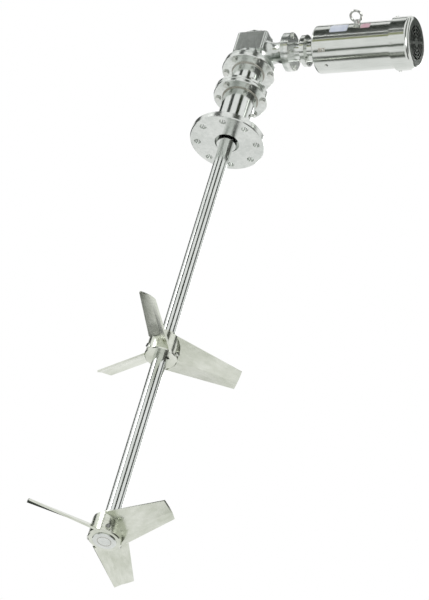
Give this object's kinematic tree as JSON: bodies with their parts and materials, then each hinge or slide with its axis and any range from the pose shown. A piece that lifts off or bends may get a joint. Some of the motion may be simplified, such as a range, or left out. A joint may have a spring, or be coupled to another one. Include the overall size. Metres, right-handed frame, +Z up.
{
  "type": "tank agitator",
  "caption": "Top-entry tank agitator: flanged pedestal with a right-angle gear drive and motor, and a long shaft carrying two pitched-blade impellers.",
  "frame": {"origin": "centre of the mounting flange's lower, tank-side face, on the shaft axis", "axes": "+Z up the shaft towards the gearbox; +X along the motor axis away from the gearbox; +Y completes the right-handed set"},
  "size_m": [0.6595, 0.41, 1.7419],
  "materials": {
    "satin_stainless": "satin",
    "polished_stainless": "polished",
    "blade_stainless": "fine satin",
    "cast_stainless": "satin cast",
    "fastener_steel": "bright",
    "seal_rubber": "matt",
    "carbon_face": "matt",
    "fan_plastic": "matt",
    "core_iron": "matt"
  },
  "bodies": {
    "housing": {"adapter_flange_bolts": "fastener_steel", "drive_end_shield": "cast_stainless", "fan_cover": "polished_stainless", "fan_cover_screws": "fastener_steel", "gearbox_flange_bolts": "fastener_steel", "gearbox_housing": "cast_stainless", "gearbox_plate": "polished_stainless", "gearbox_top_cover": "cast_stainless", "guide_bearing_outer_race": "satin_stainless", "guide_bearing_rollers": "satin_stainless", "input_bearings": "satin_stainless", "input_oil_seal": "seal_rubber", "lower_pedestal_tube": "polished_stainless", "lower_tube_plate": "polished_stainless", "mid_flange_bolts": "fastener_steel", "motor_adapter": "cast_stainless", "motor_bearings": "satin_stainless", "motor_drain_plug": "fastener_steel", "motor_flange_bolts": "fastener_steel", "motor_frame": "polished_stainless", "motor_lifting_eye": "fastener_steel", "mounting_flange": "polished_stainless", "output_bearing": "satin_stainless", "output_oil_seal": "seal_rubber", "pedestal_base_ring": "polished_stainless", "rear_end_shield": "cast_stainless", "seal_plate": "satin_stainless", "seal_port_nipple": "fastener_steel", "seal_seat": "carbon_face", "stator_core": "core_iron", "top_cover_screws": "fastener_steel", "upper_pedestal_tube": "polished_stainless", "upper_tube_plate": "polished_stainless"},
    "agitator_shaft_line": {"agitator_shaft": "polished_stainless", "shaft_coupling": "satin_stainless", "gearbox_output_shaft": "satin_stainless", "bevel_gear": "satin_stainless", "gear_lock_nut": "fastener_steel", "seal_rotor": "satin_stainless", "shaft_collar": "satin_stainless", "guide_bearing_inner_race": "satin_stainless", "hub_set_screws": "fastener_steel", "impeller_keys": "satin_stainless", "shaft_end_cap": "satin_stainless", "upper_impeller_hub": "satin_stainless", "lower_impeller_hub": "satin_stainless", "upper_impeller_blade_1": "blade_stainless", "upper_impeller_blade_2": "blade_stainless", "upper_impeller_blade_3": "blade_stainless", "lower_impeller_blade_1": "blade_stainless", "lower_impeller_blade_2": "blade_stainless", "lower_impeller_blade_3": "blade_stainless"},
    "motor_rotor": {"motor_shaft": "satin_stainless", "rotor_core": "core_iron", "cooling_fan": "fan_plastic", "pinion_shaft": "satin_stainless", "input_jaw_hub": "satin_stainless", "jaw_spider": "seal_rubber", "motor_jaw_hub": "satin_stainless"}
  },
  "joints": [
    {"name": "shaft_spin", "type": "hinge", "parent": "housing", "child": "agitator_shaft_line", "pos_m": [0, 0, 0], "axis": [0, 0, 1], "continuous": true},
    {"name": "rotor_spin", "type": "hinge", "parent": "housing", "child": "motor_rotor", "pos_m": [0, 0, 0.3335], "axis": [1, 0, 0], "continuous": true}
  ],
  "couplings": [
    {"joint": "rotor_spin", "follows": "shaft_spin", "ratio": 4}
  ]
}
